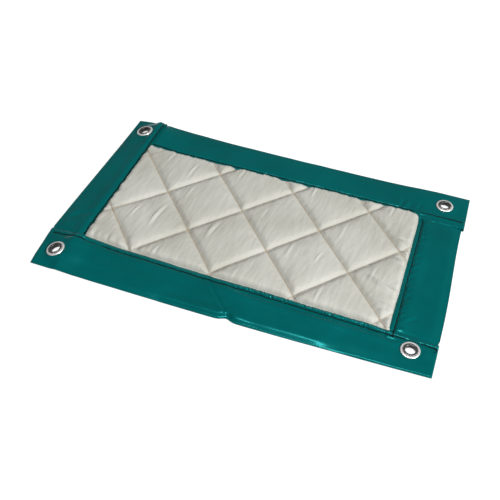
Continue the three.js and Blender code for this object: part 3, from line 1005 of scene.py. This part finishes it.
def seat(piece, corner):
    """Put an eyelet's piece on its hole, square to the border there."""
    middle = EYELETS[corner]
    reach = 8 * MM
    slope_x = (lift(middle.x + reach, middle.y) - lift(middle.x - reach, middle.y)) / (2 * reach)
    slope_y = (lift(middle.x, middle.y + reach) - lift(middle.x, middle.y - reach)) / (2 * reach)
    piece.location = (middle.x, middle.y, lift(middle.x, middle.y))
    piece.rotation_euler = Vector((-slope_x, -slope_y, 1)).to_track_quat("Z", "Y").to_euler()


def make_eyelet(corner, material):
    """The barrel, from its split lip down the outside to the flange and foot, and up through the hole."""
    node = f"eyelet_{corner}"
    flange, top = size(node).x / 2 / MM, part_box(node)[1][2] / MM
    hole, barrel = 6.0, 6.6
    lip_centre, lip_rise = 7.5, 0.75
    lip = list(arc(lip_centre, top - lip_rise, lip_centre - hole, lip_rise, 180, 20, 12))
    under = [(8.6, top - 1), (7.4, top - 0.85), (barrel, top - 1.3)]
    foot = [(barrel, 3.4), (7.3, 1.9), (8.4, 1.0), (flange - 0.8, 0.8)]
    rim = list(arc(flange - 0.4, 0.4, 0.4, 0.4, 60, -60, 5))
    floor = [(flange - 1.2, 0.02), (hole + 2.8, 0.05)]
    throat = list(arc(hole + 2.4, 3.6, 2.4, 3.5, 265, 180, 8))
    petals = 7
    lip_count = len(lip) + 1
    shift = 0.7 * CORNERS.index(corner)

    def split(angle, k, radius, height):
        """The rolled lip has split into petals: notches that deepen towards its outer edge."""
        if k >= lip_count:
            return radius, height
        phase = (angle + shift) * petals / (2 * math.pi)
        notch = bell(phase - round(phase), 0.07) * smooth((radius - 6.9) / 1.5)
        return radius - 0.6 * notch, height - 0.3 * notch

    points, faces = turned(lip + under + foot + rim + floor + throat, 140, split)
    seat(new_piece(f"eyelet_barrel_{corner}", points, faces, material, node, "eyelet_metal"), corner)


def make_washer(corner, material):
    """The bright ring, a low dome round the lip."""
    node = f"washer_{corner}"
    outer, inner = size(node).x / 2 / MM, 6.9
    low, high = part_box(node)[0][2] / MM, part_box(node)[1][2] / MM
    crown = (inner + outer) / 2 + 0.5
    dome = list(arc(crown, low + 0.15, outer - crown, high - low + 0.15, 0, 150, 14))
    points, faces = turned(dome + [(inner, low + 0.35), (inner, low), (outer - 0.4, low)], 96)
    seat(new_piece(f"eyelet_ring_{corner}", points, faces, material, node, "eyelet_metal"), corner)


# Threads


def stitched_path(start, end, height, rise, slant=0.16 * MM, wander=None):
    """A lockstitch seen from one side: it rises over each stitch and dips at each needle hole."""
    count = max(int((end - start).length / STITCH), 2)
    across = Vector((end.y - start.y, start.x - end.x)).normalized()
    path = []
    for k in range(count * STEPS_PER_STITCH + 1):
        x, y = start.lerp(end, k / (count * STEPS_PER_STITCH))
        phase = k / STEPS_PER_STITCH
        over = abs(math.sin(math.pi * phase)) ** 0.6
        sideways = slant * math.sin(2 * math.pi * phase)
        if wander:
            sideways += wander(x, y) * uneven(x, y, 7 * MM, 7 * MM, 1)
        x += across.x * sideways
        y += across.y * sideways
        path.append(Vector((x, y, height(x, y) + rise * (over - 0.5))))
    return path


def make_threads(label, above, below, kinds, radius, material):
    """The needle thread and the bobbin thread of one row of stitches."""
    for path, kind in zip((above, below), kinds):
        new_piece(f"{kind}_row_{label}", *tube(path, radius), material, f"{kind}_{label}", kinds[0])


def thread_ends(node):
    """The two ends of a straight thread, from its node's box and the way its family leans."""
    low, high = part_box(node)
    if "_a" in node:
        return Vector((low[0], high[1])), Vector((high[0], low[1]))
    return Vector((low[0], low[1])), Vector((high[0], high[1]))


def make_quilt_threads(material):
    for label in [f"{family}{k}" for family in "ab" for k in range(1, 6)]:
        start, end = thread_ends(f"quilt_thread_{label}")
        above = stitched_path(start, end, lambda x, y: held_height(x, y) + 0.15 * MM, 0.7 * MM)
        below = stitched_path(start, end, lambda x, y: back_height(x, y) - 0.25 * MM, -0.4 * MM)
        make_threads(label, above, below, ("quilt_thread", "quilt_bobbin"), THREAD_RADIUS, material)


def seam_ends(side):
    """The two ends of a border seam."""
    low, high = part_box(f"seam_thread_{side}")
    if side == "front":
        return Vector((low[0], high[1] - 0.5 * MM)), Vector((high[0], low[1] + 0.5 * MM))
    if side == "back":
        y = (low[1] + high[1]) / 2
        return Vector((low[0], y)), Vector((high[0], y))
    x = LEFT_LAP - LEFT_SEAM_INSET if side == "left" else (low[0] + high[0]) / 2
    return Vector((x, high[1])), Vector((x, low[1]))


def seam_height(side):
    """Where the thread lies along a side's seam. Past the front lap it lies on the front strip."""
    def height(x, y):
        strip, seam_gap = side, 0.0
        if side == "right" and y < front_lap(x):
            strip, seam_gap = "front", SEAM_INSET - (front_lap(x) - y)
        outer_gaps = {"front": y - FRONT_EDGE, "left": x - LEFT_EDGE, "back": BACK_EDGE - y,
                      "right": RIGHT_EDGE - x}
        top = top_height(strip, x, y, outer_gaps[strip], seam_gap)
        return top + cover_rise(strip, Vector((x, y)), seam_gap) + lift(x, y) + 0.1 * MM
    return height


def thread_tail(start):
    """The cut end of a thread, which lies in a short curl on the strip."""
    tail = [start]
    for k in range(1, 13):
        turn = 0.5 + 0.24 * k
        place = tail[-1] + Vector((math.cos(turn) * 0.45 * MM, -math.sin(turn) * 0.8 * MM, 0))
        place.z = max(start.z, BORDER_TOP + 0.5 * MM)
        tail.append(place)
    return tail[1:]


def seam_wander(x, y):
    """The seams wander a little, and the front one has loose loops at its left end."""
    loose = bell(x + 180 * MM, 26 * MM) if y < FRONT_LAP + 30 * MM else 0.0
    return 0.9 * MM + 2.2 * MM * loose


def make_seam_threads(material):
    for side in SIDES:
        start, end = seam_ends(side)
        below = stitched_path(start, end, lambda x, y: BORDER_BOTTOM - 0.35 * MM + lift(x, y), -0.5 * MM)
        if side == "right":
            end.y -= RIGHT_SEAM_OVERRUN
        above = stitched_path(start, end, seam_height(side), 1.1 * MM, 0.3 * MM, seam_wander)
        if side == "front":
            above += thread_tail(above[-1])
        make_threads(side, above, below, ("seam_thread", "seam_bobbin"), SEAM_THREAD_RADIUS, material)


# Stage

CAMERA_PLACE = Vector((0.1942, -0.6300, 0.6587))
CAMERA_FORWARD = Vector((-0.1777, 0.6656, -0.7249))
CAMERA_UP = Vector((-0.2543, 0.6805, 0.6872))
CAMERA_LENS = 50.98
CAMERA_SHIFT = -0.0616
WORLD_LIGHT = 0.14  # what the surroundings give; the camera itself sees them white
LIGHTS = {"key": ((3.0, -1.2, 1.9), 0.9, 175), "top": ((0.1, -0.3, 1.7), 0.5, 20)}  # place, width, watts
FLOOR_HALF = 4.0
FLOOR_DROP = 0.2 * MM  # the floor lies just clear of the lowest threads and plies


def make_camera():
    camera = bpy.data.cameras.new("camera")
    camera.lens = CAMERA_LENS
    camera.sensor_width = 36
    camera.shift_x = CAMERA_SHIFT
    camera.clip_start = 0.01
    holder = new_object("camera", camera)
    right = CAMERA_FORWARD.cross(CAMERA_UP).normalized()
    up = right.cross(CAMERA_FORWARD).normalized()
    turn = Matrix((right, up, -CAMERA_FORWARD.normalized())).transposed().to_4x4()
    holder.matrix_world = Matrix.Translation(CAMERA_PLACE) @ turn
    bpy.context.scene.camera = holder


def make_light(name, place, width, energy):
    """A round soft light that points at the middle of the object."""
    light = bpy.data.lights.new(name, "AREA")
    light.shape = "DISK"
    light.size = width
    light.energy = energy
    lamp = new_object(name, light)
    lamp.location = place
    lamp.rotation_euler = (-Vector(place)).to_track_quat("-Z", "Y").to_euler()


def make_stage():
    mesh = bpy.data.meshes.new("floor")
    corners = [(x * FLOOR_HALF, y * FLOOR_HALF, 0) for x, y in ((-1, -1), (1, -1), (1, 1), (-1, 1))]
    mesh.from_pydata(corners, [], [(0, 1, 2, 3)])
    mesh.materials.append(floor_material())
    floor = new_object("floor", mesh)
    floor.location.z = -FLOOR_DROP
    world = bpy.data.worlds.new("studio")
    world.use_nodes = True
    tree = world.node_tree
    seen = tree.nodes.new("ShaderNodeLightPath").outputs["Is Camera Ray"]
    strength = tree.nodes.new("ShaderNodeMapRange")
    strength.inputs["To Min"].default_value = WORLD_LIGHT
    tree.links.new(seen, strength.inputs["Value"])
    background = tree.nodes["Background"]
    tree.links.new(strength.outputs[0], background.inputs["Strength"])
    background.inputs["Color"].default_value = (1, 1, 1, 1)
    bpy.context.scene.world = world
    for name, (place, width, energy) in LIGHTS.items():
        make_light(name, place, width, energy)
    bpy.context.scene.view_settings.view_transform = "Standard"


# Assembly


def build():
    make_camera()
    make_stage()
    tarpaulin = tarpaulin_material()
    face, lattice = make_face(quilt_fabric_material())
    back = make_back(lattice, lining_material())
    wadding = make_wadding(lattice, batting_material())
    for side in SIDES:
        strip = make_strip(side, tarpaulin)
        span_of(side)
        2 * width_of(side)
    metal = metal_material()
    for corner in CORNERS:
        make_eyelet(corner, metal)
        make_washer(corner, metal)
    make_quilt_threads(thread_material("quilt_thread", (0.27, 0.2, 0.12), (0.42, 0.33, 0.22), 0.2))
    make_seam_threads(thread_material("seam_thread", (0.0005, 0.005, 0.005), (0.001, 0.016, 0.015), 0.05))


build()
